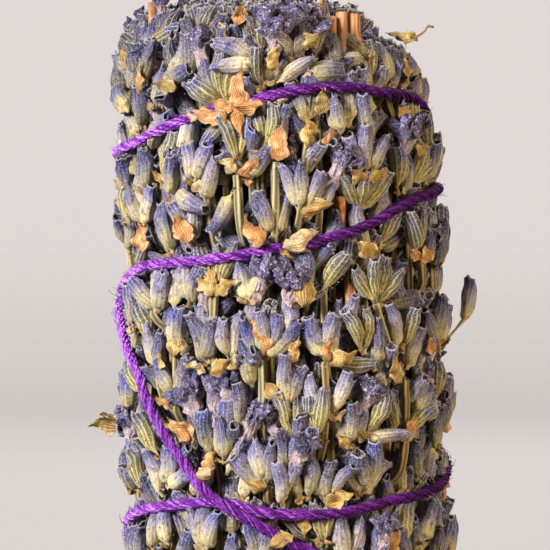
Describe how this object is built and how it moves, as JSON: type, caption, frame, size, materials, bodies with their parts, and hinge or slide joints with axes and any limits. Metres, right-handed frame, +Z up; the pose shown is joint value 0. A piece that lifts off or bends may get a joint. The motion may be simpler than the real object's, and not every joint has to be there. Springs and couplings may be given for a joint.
{
  "type": "dried lavender bundle",
  "caption": "Hand-tied bundle of dried lavender spikes standing on its cut stem ends, bound in a criss-cross with purple cotton string.",
  "frame": {"origin": "on the floor at the middle of the bundle's footprint, under the cut stem ends", "axes": "+Z up along the stems, -Y towards the front of the bundle as pictured, +X to the viewer's right"},
  "size_m": [0.0476, 0.041, 0.102],
  "materials": {
    "dried_flowers": "matt, woolly, dry",
    "withered_petals": "matt, crumpled",
    "papery_bracts": "dry and papery, thin at the edges",
    "dry_stems": "dry, matt, finely grooved",
    "woody_stems": "dry brown wood, rough",
    "string": "twisted cotton with a soft sheen"
  },
  "bodies": {
    "root": {"outer_spike_01": "dried_flowers", "outer_spike_02": "dried_flowers", "outer_spike_03": "dried_flowers", "outer_spike_04": "dried_flowers", "outer_spike_05": "dried_flowers", "outer_spike_06": "dried_flowers", "outer_spike_07": "dried_flowers", "outer_spike_08": "dried_flowers", "outer_spike_09": "dried_flowers", "outer_spike_10": "dried_flowers", "outer_spike_11": "dried_flowers", "outer_spike_12": "dried_flowers", "outer_spike_13": "dried_flowers", "outer_spike_14": "dried_flowers", "outer_spike_15": "dried_flowers", "outer_spike_16": "dried_flowers", "inner_spike_01": "dried_flowers", "inner_spike_02": "dried_flowers", "inner_spike_03": "dried_flowers", "inner_spike_04": "dried_flowers", "inner_spike_05": "dried_flowers", "inner_spike_06": "dried_flowers", "inner_spike_07": "dried_flowers", "inner_spike_08": "dried_flowers", "inner_spike_09": "dried_flowers", "woody_stem_01": "woody_stems", "woody_stem_02": "woody_stems", "woody_stem_03": "woody_stems", "woody_stem_04": "woody_stems", "woody_stem_05": "woody_stems", "woody_stem_06": "woody_stems", "wrapping_string": "string"}
  },
  "joints": []
}
